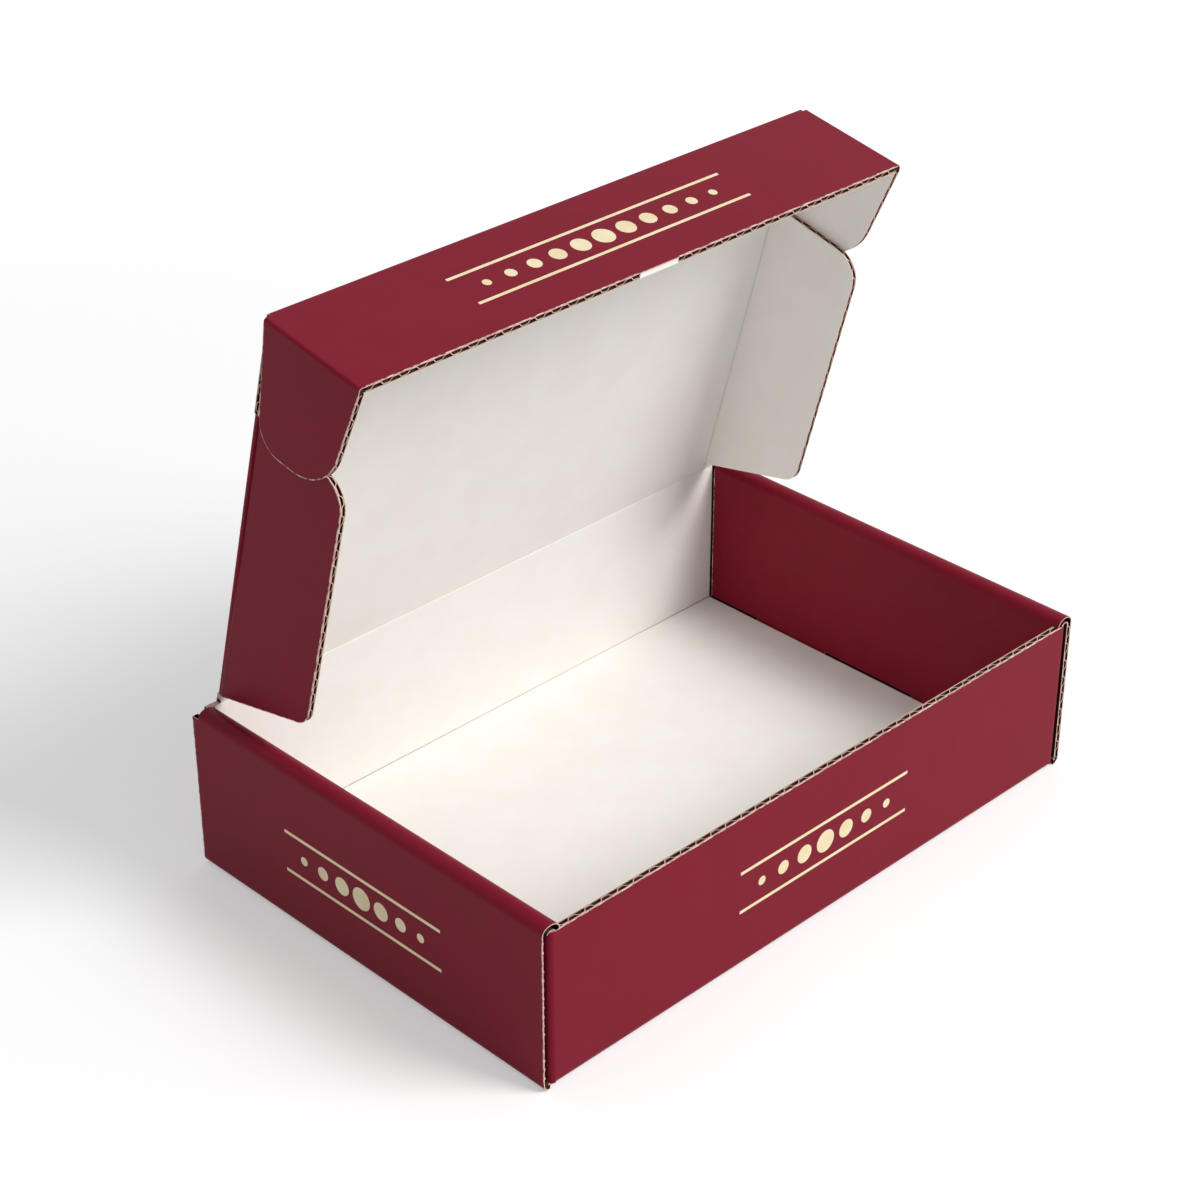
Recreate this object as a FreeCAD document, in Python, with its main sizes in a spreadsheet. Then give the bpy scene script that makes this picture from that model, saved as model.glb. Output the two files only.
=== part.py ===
"""Corrugated mailer box with rolled side walls and a hinged lid, folded from one sheet, in millimetres.

Origin at the middle of the tray's underside, +X along the front wall to the right, +Y to the back, +Z up.
Every flap is drawn flat in its own frame: X along its fold, Y away from the fold, +Z its inner face.
"""
import FreeCAD, Part
import math
import os
import re

import Sketcher

# Driving sizes: name, value
SIZES = [
    ("tray_width", 250.0),
    ("tray_depth", 164.0),
    ("side_height", 61.0),
    ("board", 2.3),
    ("ply_gap", 0.15),
    ("outer_fold", 2.5),
    ("corner_tab", 42.0),
    ("tab_lift", 0.5),
    ("roll_set_back", 6.0),
    ("roll_end_gap", 0.3),
    ("ply_lift", 0.3),
    ("lock_length", 34.0),
    ("lock_spread", 38.0),
    ("lock_gap", 0.15),
    ("lock_recess", 0.2),
    ("lid_gap", 0.3),
    ("lid_recess", 0.4),
    ("fold_gap", 0.2),
    ("ear_gap", 0.25),
    ("flap_gap", 0.2),
    ("tuck_gap", 3.0),
    ("tuck_depth", 43.0),
    ("flap_depth", 41.0),
    ("flap_start", 3.5),
    ("flap_short", 36.0),
    ("mitre_depth", 20.0),
    ("mitre_round", 8.0),
    ("flap_round", 10.0),
    ("flap_crush", 1.1),
    ("ear_length", 43.5),
    ("ear_start", 0.6),
    ("ear_top_taper", 2.4),
    ("ear_low_taper", 10.0),
    ("ear_big_round", 20.0),
    ("ear_small_round", 12.0),
    ("liner", 0.35),
    ("flute_pitch", 6.7),
    ("flute_wide", 5.2),
    ("flute_narrow", 0.9),
    ("flute_open", 2.6),
    ("flute_margin", 5.0),
    ("lid_open", 75.0),
    ("tuck_fold", 86.0),
]

doc = FreeCAD.newDocument("corrugated_mailer_box")
sheet = doc.addObject("Spreadsheet::Sheet", "Sizes")
for row, (name, value) in enumerate(SIZES, start=1):
    sheet.set(f"A{row}", name)
    sheet.set(f"B{row}", str(value))
    sheet.setAlias(f"B{row}", name)
doc.recompute()
NAMES = re.compile(r"\b(" + "|".join(name for name, value in SIZES) + r")\b")


def size(name):
    """One driving size, read back from the sheet."""
    return float(sheet.get(name))


def bind(thing, prop, rule):
    """Ties one property to a rule written with the names of the sizes."""
    thing.setExpression(prop, NAMES.sub(r"Sizes.\1", rule))


# Places that several pieces share, as rules
HALF_WIDTH = "tray_width / 2"
HALF_DEPTH = "tray_depth / 2"
ROLL = "(3 * board + 2 * ply_gap)"
ROLL_INNER = f"({HALF_WIDTH} - {ROLL})"
TAB_OUTER = f"({HALF_WIDTH} - board - ply_gap)"
WALL_END = f"({TAB_OUTER} - outer_fold)"
HINGE_Y = f"({HALF_DEPTH} - board / 2)"
FRONT_TOP = "(side_height - lid_recess - board - lid_gap)"
HINGE_Z = "(side_height - lid_recess - board / 2)"
EAR_OUTER = f"({ROLL_INNER} - ear_gap)"
EAR_FOLD = f"({EAR_OUTER} - board / 2)"
LID_EDGE = f"({EAR_OUTER} - board - flap_gap)"
FLAP_FOLD = f"({LID_EDGE} - board / 2)"
FOLD_START = "(board / 2 + fold_gap)"
TUCK_FOLD = f"({HINGE_Y} + {HALF_DEPTH} - board - tuck_gap - board / 2)"
FLAP_END = f"({TUCK_FOLD} - flap_short)"


def body_called(name):
    """An empty body with the name of its piece."""
    body = doc.addObject("PartDesign::Body", name)
    body.Label = name
    return body


def origin_plane(body, role):
    """One of the body's own origin planes."""
    return next(item for item in body.Origin.OriginFeatures if item.Role == role)


def new_sketch(body, plane, name, lift):
    """An empty sketch on an origin plane, lifted along the plane's normal."""
    sketch = body.newObject("Sketcher::SketchObject", name)
    sketch.AttachmentSupport = (origin_plane(body, plane), [""])
    sketch.MapMode = "FlatFace"
    bind(sketch, "AttachmentOffset.Base.z", lift)
    return sketch


def place(sketch, index, point, at):
    """Sets one point of a sketch by its two distances from the origin."""
    for kind, rule in zip(("DistanceX", "DistanceY"), at):
        number = sketch.addConstraint(Sketcher.Constraint(kind, -1, 1, index, point, 1.0))
        bind(sketch, f"Constraints[{number}]", rule)


def draw_loop(sketch, first, corners):
    """Draws a closed loop of straight sides, whose first side gets the number first."""
    count = len(corners)
    turns = [2 * math.pi * step / count for step in range(count)]
    ring = [FreeCAD.Vector(99 * math.cos(a), 99 * math.sin(a), 0) for a in turns]
    for step in range(count):
        sketch.addGeometry(Part.LineSegment(ring[step], ring[(step + 1) % count]))
    for step in range(count):
        after = first + (step + 1) % count
        sketch.addConstraint(Sketcher.Constraint("Coincident", first + step, 2, after, 1))
    for step, at in enumerate(corners):
        place(sketch, first + step, 1, at)


def outline(body, plane, name, corners, lift="0"):
    """A closed outline with straight sides through corners."""
    sketch = new_sketch(body, plane, name, lift)
    draw_loop(sketch, 0, corners)
    return sketch


def box_outline(body, plane, name, low, high, lift="0"):
    """A rectangle between two opposite corners."""
    corners = [low, (high[0], low[1]), high, (low[0], high[1])]
    return outline(body, plane, name, corners, lift)


def disc(body, plane, name, centre, radius, lift="0"):
    """A circle."""
    sketch = new_sketch(body, plane, name, lift)
    sketch.addGeometry(Part.Circle(FreeCAD.Vector(9, 9, 0), FreeCAD.Vector(0, 0, 1), 3))
    place(sketch, 0, 3, centre)
    number = sketch.addConstraint(Sketcher.Constraint("Radius", 0, 3.0))
    bind(sketch, f"Constraints[{number}]", radius)
    return sketch


def grow(body, kind, sketch, length, both=False, back=False):
    """A pad or pocket of one sketch."""
    feature = body.newObject("PartDesign::" + kind, sketch.Name + "_" + kind.lower())
    feature.Profile = sketch
    bind(feature, "Length", length)
    feature.SideType = "Symmetric" if both else "One side"
    feature.Reversed = back
    doc.recompute()
    return feature


def mirror(body, name, features):
    """Repeats features on the other side of the body's YZ plane."""
    feature = body.newObject("PartDesign::Mirrored", name)
    feature.Originals = features
    feature.MirrorPlane = (origin_plane(body, "YZ_Plane"), [""])
    body.Tip = feature
    doc.recompute()
    return feature


def flute_cells(body, plane, name, run, across, lift, ends, back, upright=False):
    """Open flutes in a cut edge: one pair of cells, repeated along the body's run axis between two ends."""
    sketch = new_sketch(body, plane, name, lift)
    low, high = ends
    first = f"({low} + flute_pitch / 2)"
    half = "(board / 2 - liner)"
    pair = [(first, "1"), (f"({first} + flute_pitch / 2)", "-1")]
    for number, (middle, up) in enumerate(pair):
        corners = [
            (f"{middle} - flute_wide / 2", f"{across} + {up} * {half}"),
            (f"{middle} + flute_wide / 2", f"{across} + {up} * {half}"),
            (f"{middle} + flute_narrow / 2", f"{across} - {up} * {half}"),
            (f"{middle} - flute_narrow / 2", f"{across} - {up} * {half}"),
        ]
        if upright:
            corners = [(far, along) for along, far in corners]
        draw_loop(sketch, 4 * number, corners)
    cell = grow(body, "Pocket", sketch, "flute_open", back=back)
    feature = body.newObject("PartDesign::LinearPattern", name + "_row")
    feature.Originals = [cell]
    feature.Direction = (origin_plane(body, run), [""])
    feature.Mode = "Spacing"
    bind(feature, "Offset", "flute_pitch")
    bind(feature, "Occurrences", f"floor(({high} - {low} - flute_pitch / 2) / flute_pitch)")
    body.Tip = feature
    doc.recompute()
    return feature


def straight_edges(shape, axis, spots):
    """Names of the straight edges along an axis whose middle is at one of the spots in the other two."""
    found = []
    others = [k for k in range(3) if k != axis]
    for number, edge in enumerate(shape.Edges, start=1):
        ends = [vertex.Point for vertex in edge.Vertexes]
        if len(ends) != 2 or edge.Curve.TypeId != "Part::GeomLine":
            continue
        if max(abs(ends[0][k] - ends[1][k]) for k in others) > 1e-4:
            continue
        for spot in spots:
            if max(abs(ends[0][k] - spot[i]) for i, k in enumerate(others)) < 1e-3:
                found.append(f"Edge{number}")
                break
    return found


def soften(body, kind, name, axis, spots, prop, rule):
    """A fillet or chamfer along the straight edges found at the spots."""
    before = body.Tip
    feature = body.newObject("PartDesign::" + kind, name)
    feature.Base = (before, straight_edges(before.Shape, axis, spots))
    bind(feature, prop, rule)
    doc.recompute()
    return feature


# Numbers used to find edges
half_width = size("tray_width") / 2
half_depth = size("tray_depth") / 2
board = size("board")
roll = 3 * board + 2 * size("ply_gap")
tab_outer = half_width - board - size("ply_gap")
hinge_y = half_depth - board / 2
hinge_z = size("side_height") - size("lid_recess") - board / 2
ear_outer = half_width - roll - size("ear_gap")
ear_fold_x = ear_outer - board / 2
lid_edge = ear_outer - board - size("flap_gap")
flap_fold_x = lid_edge - board / 2
tuck_fold_y = hinge_y + half_depth - board - size("tuck_gap") - board / 2
flap_end = tuck_fold_y - size("flap_short")


def across(rule):
    """The same distance to the left."""
    return f"-({rule})"


def make_tray():
    """Floor, front and back walls, and side walls rolled over the corner tabs."""
    body = body_called("tray")
    inner_low = "board + ply_lift"
    right = [
        (HALF_WIDTH, "0"),
        (HALF_WIDTH, "side_height"),
        (ROLL_INNER, "side_height"),
        (ROLL_INNER, inner_low),
        (f"{ROLL_INNER} + board", inner_low),
        (f"{ROLL_INNER} + board", "side_height - board"),
        (f"{HALF_WIDTH} - board", "side_height - board"),
        (f"{HALF_WIDTH} - board", "board"),
    ]
    left = [(across(x), z) for x, z in reversed(right)]
    rolled = outline(body, "XZ_Plane", "rolled_section", right + left)
    grow(body, "Pad", rolled, "tray_depth", both=True)
    folds = [(side * x, z) for side in (1, -1) for x, z in (
        (half_width, 0.0),
        (half_width, size("side_height")),
        (half_width - roll, size("side_height")),
    )]
    soften(body, "Fillet", "roll_folds", 1, folds, "Radius", "outer_fold")

    front_end = f"-({HALF_DEPTH} - board - ply_gap)"
    back_end = f"{HALF_DEPTH} - roll_set_back"
    room = box_outline(
        body, "XY_Plane", "room_for_front",
        (f"{ROLL_INNER} - board", f"-{HALF_DEPTH} - board"),
        (f"{HALF_WIDTH} - board", front_end),
        lift="board",
    )
    front_room = grow(body, "Pocket", room, f"{FRONT_TOP} + roll_end_gap - board", back=True)
    room = box_outline(
        body, "XY_Plane", "room_for_back",
        (f"{ROLL_INNER} - board", back_end),
        (f"{HALF_WIDTH} - board", f"{HALF_DEPTH} + board"),
        lift="board",
    )
    back_room = grow(body, "Pocket", room, "side_height", back=True)
    room = box_outline(
        body, "XY_Plane", "roll_back_end",
        (f"{ROLL_INNER} - board", back_end),
        (f"{HALF_WIDTH} + board", f"{HALF_DEPTH} + board"),
        lift="side_height - outer_fold",
    )
    top_room = grow(body, "Pocket", room, "side_height", back=True)
    mirror(body, "rooms_left", [front_room, back_room, top_room])

    walls = [
        (f"-{HALF_DEPTH}", "0"),
        (HALF_DEPTH, "0"),
        (HALF_DEPTH, HINGE_Z),
        (f"{HALF_DEPTH} - board", HINGE_Z),
        (f"{HALF_DEPTH} - board", "board"),
        (f"board - {HALF_DEPTH}", "board"),
        (f"board - {HALF_DEPTH}", FRONT_TOP),
        (f"-{HALF_DEPTH}", FRONT_TOP),
    ]
    upright = outline(body, "YZ_Plane", "wall_section", walls)
    grow(body, "Pad", upright, f"2 * {WALL_END}", both=True)
    crease = disc(body, "YZ_Plane", "hinge_crease", (HINGE_Y, HINGE_Z), "board / 2")
    grow(body, "Pad", crease, f"2 * {WALL_END}", both=True)

    reliefs = []
    for name, near, far in (
        ("front_relief", f"-{HALF_DEPTH} - board", f"outer_fold - {HALF_DEPTH}"),
        ("back_relief", f"{HALF_DEPTH} - outer_fold", f"{HALF_DEPTH} + board"),
    ):
        corner = box_outline(body, "XY_Plane", name, (WALL_END, near), (f"{HALF_WIDTH} - board", far))
        reliefs.append(grow(body, "Pocket", corner, "board + tab_lift", back=True))
    mirror(body, "reliefs_left", reliefs)
    folds = [(end * half_depth, 0.0) for end in (1, -1)]
    soften(body, "Fillet", "wall_folds", 0, folds, "Radius", "outer_fold")

    tabs = []
    for name, face, step in (("front_tab", f"(-{HALF_DEPTH})", "1"), ("back_tab", f"({HALF_DEPTH})", "-1")):
        corners = [
            (f"{WALL_END} - board", face),
            (TAB_OUTER, face),
            (TAB_OUTER, f"{face} + {step} * corner_tab"),
            (f"{TAB_OUTER} - board", f"{face} + {step} * corner_tab"),
            (f"{TAB_OUTER} - board", f"{face} + {step} * board"),
            (f"{WALL_END} - board", f"{face} + {step} * board"),
        ]
        plan = outline(body, "XY_Plane", name, corners, lift="board + tab_lift")
        tabs.append(grow(body, "Pad", plan, f"{FRONT_TOP} - board - tab_lift"))
    mirror(body, "tabs_left", tabs)
    folds = [(side * tab_outer, end * half_depth) for side in (1, -1) for end in (1, -1)]
    soften(body, "Fillet", "tab_folds", 2, folds, "Radius", "outer_fold")

    slots = []
    locks = []
    for name, middle in (("front", "(-lock_spread)"), ("back", "lock_spread")):
        low = f"{middle} - lock_length / 2"
        high = f"{middle} + lock_length / 2"
        slot = box_outline(
            body, "XY_Plane", f"{name}_slot",
            (f"{ROLL_INNER} - lock_gap", f"{low} - lock_gap"),
            (f"{ROLL_INNER} + board + lock_gap", f"{high} + lock_gap"),
        )
        slots.append(grow(body, "Pocket", slot, "board", back=True))
        locks.append((name, low, high))
    mirror(body, "slots_left", slots)
    pads = []
    for name, low, high in locks:
        lock = box_outline(
            body, "XY_Plane", f"{name}_lock",
            (ROLL_INNER, low), (f"{ROLL_INNER} + board", high),
            lift="lock_recess",
        )
        pads.append(grow(body, "Pad", lock, "2 * board"))
    mirror(body, "locks_left", pads)

    wall_run = (f"-({WALL_END} - flute_margin)", f"({WALL_END} - flute_margin)")
    flute_cells(
        body, "XY_Plane", "front_flutes", "X_Axis", f"board / 2 - {HALF_DEPTH}",
        FRONT_TOP, wall_run, back=False,
    )
    ply_run = ("flute_margin", "(side_height - flute_margin)")
    ply_middle = f"({HALF_WIDTH} - board / 2)"
    for side, middle in (("right", ply_middle), ("left", across(ply_middle))):
        flute_cells(
            body, "XZ_Plane", side + "_front_ply", "Z_Axis", middle, HALF_DEPTH, ply_run,
            back=False, upright=True,
        )
        flute_cells(
            body, "XZ_Plane", side + "_back_ply", "Z_Axis", middle, across(HALF_DEPTH), ply_run,
            back=True, upright=True,
        )
    return body


def make_lid():
    """Lid panel: raw edges beyond the side flaps, rounded creases where the flaps fold."""
    body = body_called("lid_panel")
    right = [
        (LID_EDGE, FOLD_START),
        (LID_EDGE, "flap_start"),
        (FLAP_FOLD, "flap_start"),
        (FLAP_FOLD, FLAP_END),
        (LID_EDGE, FLAP_END),
        (LID_EDGE, TUCK_FOLD),
    ]
    left = [(across(x), y) for x, y in reversed(right)]
    grow(body, "Pad", outline(body, "XY_Plane", "lid_outline", right + left), "board", both=True)
    crease = disc(body, "YZ_Plane", "tuck_crease", (TUCK_FOLD, "0"), "board / 2")
    grow(body, "Pad", crease, f"2 * {LID_EDGE}", both=True)
    crease = disc(body, "XZ_Plane", "flap_crease", (FLAP_FOLD, "0"), "board / 2", lift="-flap_start")
    side = grow(body, "Pad", crease, f"{FLAP_END} - flap_start", back=True)
    mirror(body, "flap_crease_left", [side])
    return body


def make_tuck():
    """Tuck flap, with rounded creases at both ends for the ears."""
    body = body_called("tuck_flap")
    low = (f"-{EAR_FOLD}", FOLD_START)
    high = (EAR_FOLD, "tuck_depth")
    grow(body, "Pad", box_outline(body, "XY_Plane", "tuck_outline", low, high), "board", both=True)
    crease = disc(body, "XZ_Plane", "ear_crease", (EAR_FOLD, "0"), "board / 2", lift=f"-{FOLD_START}")
    side = grow(body, "Pad", crease, f"tuck_depth - {FOLD_START}", back=True)
    mirror(body, "ear_crease_left", [side])
    run = (f"-({EAR_FOLD} - flute_margin)", f"({EAR_FOLD} - flute_margin)")
    flute_cells(body, "XZ_Plane", "tuck_flutes", "X_Axis", "0", "-tuck_depth", run, back=True)
    return body


def make_side_flap(name, side):
    """Side flap: cut back beside the hinge and at the tuck end, its crease crushed on the inner face."""
    body = body_called(name)
    reach = "flap_depth"
    corners = [
        (f"{side} * {FOLD_START}", "flap_start + flap_gap"),
        (f"{side} * {FOLD_START}", f"{FLAP_END} - flap_gap"),
        (f"{side} * {reach}", f"{FLAP_END} - flap_gap"),
        (f"{side} * {reach}", "flap_start + flap_gap + mitre_depth"),
    ]
    grow(body, "Pad", outline(body, "XY_Plane", name + "_outline", corners), "board", both=True)
    far = side * size("flap_depth")
    low = size("flap_start") + size("flap_gap") + size("mitre_depth")
    high = flap_end - size("flap_gap")
    start = side * (board / 2 + size("fold_gap"))
    soften(body, "Fillet", name + "_tuck_corner", 2, [(far, high)], "Radius", "flap_round")
    soften(body, "Fillet", name + "_hinge_corner", 2, [(far, low)], "Radius", "mitre_round")
    soften(body, "Chamfer", name + "_crush", 1, [(start, board / 2)], "Size", "flap_crush")
    run = ("(flap_start + flap_gap + mitre_depth + mitre_round)", f"({FLAP_END} - flap_gap - flap_round)")
    flute_cells(
        body, "YZ_Plane", name + "_flutes", "Y_Axis", "0", f"{side} * flap_depth", run, back=side < 0,
    )
    return body


def make_ear(name, side):
    """Ear: tapered, with a small curve on the lid side and a wide one towards the free edge."""
    body = body_called(name)
    corners = [
        (f"{side} * {FOLD_START}", "ear_start"),
        (f"{side} * ear_length", "ear_start + ear_top_taper"),
        (f"{side} * ear_length", "tuck_depth - ear_low_taper"),
        (f"{side} * {FOLD_START}", "tuck_depth"),
    ]
    grow(body, "Pad", outline(body, "XY_Plane", name + "_outline", corners), "board", both=True)
    far = side * size("ear_length")
    low = size("ear_start") + size("ear_top_taper")
    high = size("tuck_depth") - size("ear_low_taper")
    soften(body, "Fillet", name + "_big_curve", 2, [(far, high)], "Radius", "ear_big_round")
    soften(body, "Fillet", name + "_small_curve", 2, [(far, low)], "Radius", "ear_small_round")
    return body


tray = make_tray()
lid_panel = make_lid()
tuck_flap = make_tuck()
right_side_flap = make_side_flap("right_side_flap", 1)
left_side_flap = make_side_flap("left_side_flap", -1)
right_ear = make_ear("right_ear", 1)
left_ear = make_ear("left_ear", -1)

# Folded places: the lid stands open, its side flaps square to it, the tuck flap a little open, the ears square to it
X_AXIS = FreeCAD.Vector(1, 0, 0)
Y_AXIS = FreeCAD.Vector(0, 1, 0)


def turned(at, axis, degrees):
    """A place at a fold, turned about it."""
    return FreeCAD.Placement(FreeCAD.Vector(*at), FreeCAD.Rotation(axis, degrees))


lid_place = turned((0, hinge_y, hinge_z), X_AXIS, 180 - size("lid_open"))
tuck_place = lid_place * turned((0, tuck_fold_y, 0), X_AXIS, size("tuck_fold"))
lid_panel.Placement = lid_place
tuck_flap.Placement = tuck_place
right_side_flap.Placement = lid_place * turned((flap_fold_x, 0, 0), Y_AXIS, -90)
left_side_flap.Placement = lid_place * turned((-flap_fold_x, 0, 0), Y_AXIS, 90)
right_ear.Placement = tuck_place * turned((ear_fold_x, 0, 0), Y_AXIS, -90)
left_ear.Placement = tuck_place * turned((-ear_fold_x, 0, 0), Y_AXIS, 90)
doc.recompute()

for item in doc.Objects:
    if "Invalid" in item.State or "Error" in item.State:
        raise RuntimeError(f"{item.Name} failed: {item.State}")

PIECES = [tray, lid_panel, tuck_flap, right_side_flap, left_side_flap, right_ear, left_ear]
os.makedirs("parts", exist_ok=True)
for piece in PIECES:
    shape = piece.Shape
    if shape.isNull() or not shape.isValid() or len(shape.Solids) != 1:
        raise RuntimeError(f"{piece.Label} is not one valid solid")
    shape.exportStep(f"parts/{piece.Label}.step")
    box = shape.BoundBox
    print(f"{piece.Label}: {shape.Volume:.1f} mm3, {box.XLength:.1f} x {box.YLength:.1f} x {box.ZLength:.1f}")
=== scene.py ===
"""Looks of a corrugated mailer box: printed board, open flutes, soft folds and a rolled rim, on a pale floor."""
import logging
import math
import random
from dataclasses import dataclass
from enum import Enum
from itertools import groupby
from typing import Optional, Sequence, Union

import bmesh
import bpy
import numpy as np
from mathutils import Matrix, Vector
from mathutils.geometry import delaunay_2d_cdt


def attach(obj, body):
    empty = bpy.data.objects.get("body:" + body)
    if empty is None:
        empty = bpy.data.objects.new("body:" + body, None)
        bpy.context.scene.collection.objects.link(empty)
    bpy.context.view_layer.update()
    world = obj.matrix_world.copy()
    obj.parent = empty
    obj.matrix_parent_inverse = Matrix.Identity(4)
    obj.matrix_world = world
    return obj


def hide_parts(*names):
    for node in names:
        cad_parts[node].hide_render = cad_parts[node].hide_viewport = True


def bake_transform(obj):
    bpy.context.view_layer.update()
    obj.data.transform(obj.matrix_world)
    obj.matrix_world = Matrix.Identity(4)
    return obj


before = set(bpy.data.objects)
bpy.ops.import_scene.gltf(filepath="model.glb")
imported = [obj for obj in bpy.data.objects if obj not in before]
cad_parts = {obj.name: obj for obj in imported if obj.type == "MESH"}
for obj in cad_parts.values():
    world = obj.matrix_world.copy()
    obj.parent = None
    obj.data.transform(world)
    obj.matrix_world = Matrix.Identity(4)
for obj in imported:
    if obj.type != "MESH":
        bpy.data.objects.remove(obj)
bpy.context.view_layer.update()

LOG = logging.getLogger("mailer_box")
MM = 0.001

Flat = tuple[float, float]
Point = tuple[float, float, float]
Colour = tuple[float, float, float, float]
BLACK: Colour = (0.0, 0.0, 0.0, 1.0)
WHITE: Colour = (1.0, 1.0, 1.0, 1.0)


class Skin(Enum):
    """The kinds of surface that one piece of board shows, in the order of its material slots."""

    OUTSIDE = 0
    INSIDE = 1
    CUT = 2
    MEDIUM = 3
    # The next skin is painted shade: a very dark paper colour that stands for the shade in flute hollows, narrow gaps
    # and hidden recesses.
    HOLLOW = 4
    ORNAMENT = 5
    CRACKED = 6


class Edge(Enum):
    """How one side of a panel ends."""

    OPEN = "open flutes"
    GROOVE = "flutes run along the edge"
    PLAIN = "crushed flat"
    JOINED = "goes on into a fold"
    LAPPED = "ends under its own outer liner"


@dataclass(frozen=True)
class Board:
    """Sizes of the single-wall board, in millimetres."""

    thick: float = 2.3
    liner: float = 0.35
    medium: float = 0.28
    pitch: float = 6.7
    steepness: float = 3.2
    steps: int = 16
    depth: float = 3.0
    groove: float = 0.45
    pinch: float = 0.14
    crack: float = 0.34
    edge_run: float = 0.55
    guard: float = 0.85
    hollow: float = 1.6
    row: float = 2.0
    drift: float = 0.28
    shortest: float = 0.9
    setback: float = 0.06
    play: float = 0.01
    fold_reach: float = 1.35
    tray_round: float = 2.5
    sliver: float = 0.02
    arc_step: float = 0.9
    merge: float = 0.004
    sharp: float = 34.0

    @property
    def half(self) -> float:
        """Half of the board's thickness."""
        return self.thick / 2


BOARD = Board()


# ---- shader maths


@dataclass(frozen=True)
class Value:
    """A number on its way through a shader: arithmetic on it adds Math nodes."""

    shader: "Shader"
    socket: bpy.types.NodeSocket

    def __add__(self, other: "Number") -> "Value":
        """Sum."""
        return self.shader.math("ADD", self, other)

    __radd__ = __add__

    def __mul__(self, other: "Number") -> "Value":
        """Product."""
        return self.shader.math("MULTIPLY", self, other)

    __rmul__ = __mul__

    def __sub__(self, other: "Number") -> "Value":
        """Difference."""
        return self.shader.math("SUBTRACT", self, other)

    def __rsub__(self, other: "Number") -> "Value":
        """Difference, the other way round."""
        return self.shader.math("SUBTRACT", other, self)

    def sine(self) -> "Value":
        """Sine of the number."""
        return self.shader.math("SINE", self)

    def between(self, low: float, high: float) -> "Value":
        """The number's place between low and high, from 0 to 1, eased at both ends.

        Args:
            low: Where the result is 0.
            high: Where the result is 1.

        Returns:
            The eased share.
        """
        made = self.shader.node(
            "ShaderNodeMapRange",
            {"interpolation_type": "SMOOTHSTEP"},
            {"Value": self, "From Min": low, "From Max": high},
        )
        return Value(self.shader, made.outputs["Result"])


Number = Union[Value, float, int]
Feed = Union[Value, bpy.types.NodeSocket, float, int, Sequence[float]]
Owner = Union[bpy.types.Material, bpy.types.World]


class Shader:
    """The node tree of a material or of the room."""

    def __init__(self, owner: Owner) -> None:
        """Starts an empty tree.

        Args:
            owner: The new material or world.
        """
        self.owner = owner
        owner.use_nodes = True
        self.tree = owner.node_tree
        self.tree.nodes.clear()

    def node(self, kind: str, settings: Optional[dict] = None, sockets: Optional[dict] = None) -> bpy.types.Node:
        """Adds a node of any kind.

        Args:
            kind: The node's type.
            settings: Properties of the node, set first.
            sockets: Values or links of its input sockets, by name or number.

        Returns:
            The new node.
        """
        made = self.tree.nodes.new(kind)
        for name, value in (settings or {}).items():
            setattr(made, name, value)
        for key, value in (sockets or {}).items():
            self.feed(made.inputs[key], value)
        return made

    def feed(self, socket: bpy.types.NodeSocket, value: Feed) -> None:
        """Sets a socket, or links it to what varies.

        Args:
            socket: The input socket.
            value: A number, a colour, a socket or a Value.
        """
        if isinstance(value, Value):
            value = value.socket
        if isinstance(value, bpy.types.NodeSocket):
            self.tree.links.new(value, socket)
        else:
            socket.default_value = value

    def math(self, operation: str, *terms: Number) -> Value:
        """Adds one Math node.

        Args:
            operation: The node's operation.
            terms: Its numbers.

        Returns:
            The result.
        """
        made = self.node("ShaderNodeMath", {"operation": operation}, dict(enumerate(terms)))
        return Value(self, made.outputs[0])

    def sheet(self) -> bpy.types.NodeSocket:
        """The place on the unfolded sheet, in metres, which the meshes carry."""
        return self.node("ShaderNodeUVMap", {"uv_map": "sheet"}).outputs["UV"]

    def across(self, place: bpy.types.NodeSocket) -> Value:
        """The coordinate of a place on the sheet that crosses the flutes."""
        return Value(self, self.node("ShaderNodeSeparateXYZ", sockets={"Vector": place}).outputs["X"])

    def noise(
        self, place: bpy.types.NodeSocket, scale: float, detail: float, rough: float = 0.5, stretch: Point = (1, 1, 1)
    ) -> Value:
        """Soft noise.

        Args:
            place: Where to read it.
            scale: Cells a metre.
            detail: Octaves.
            rough: Weight of the finer octaves.
            stretch: How much finer it is along each coordinate.

        Returns:
            The noise, from 0 to 1.
        """
        spot = self.node("ShaderNodeVectorMath", {"operation": "MULTIPLY"}, {0: place, 1: stretch}).outputs["Vector"]
        sockets = {"Vector": spot, "Scale": scale, "Detail": detail, "Roughness": rough}
        return Value(self, self.node("ShaderNodeTexNoise", sockets=sockets).outputs["Fac"])

    def blend(self, share: Number, low: Feed, high: Feed) -> bpy.types.NodeSocket:
        """A colour between two others, through a Mix node."""
        made = self.node("ShaderNodeMix", {"data_type": "RGBA"}, {0: share, 6: low, 7: high})
        return made.outputs[2]

    def relief(self, height: Number) -> bpy.types.NodeSocket:
        """The normal bent by a height in millimetres, through a Bump node."""
        return self.node("ShaderNodeBump", sockets={"Distance": MM, "Height": height}).outputs["Normal"]

    def surface(self, sockets: dict) -> bpy.types.Material:
        """Ends the tree in one Principled shader.

        Args:
            sockets: Values or links of its sockets.

        Returns:
            The material.
        """
        body = self.node("ShaderNodeBsdfPrincipled", sockets=sockets)
        self.node("ShaderNodeOutputMaterial", sockets={"Surface": body.outputs["BSDF"]})
        return self.owner

    def seen(self) -> Value:
        """Tells what the camera sees from the light that falls on the object.

        Returns:
            1 for what is seen, straight or in a shiny or clear surface, and 0 for light.
        """
        path = self.node("ShaderNodeLightPath").outputs
        eye, shine, clear = (Value(self, path[f"Is {kind} Ray"]) for kind in ("Camera", "Glossy", "Transmission"))
        return self.math("MAXIMUM", self.math("MAXIMUM", eye, shine), clear)


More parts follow.
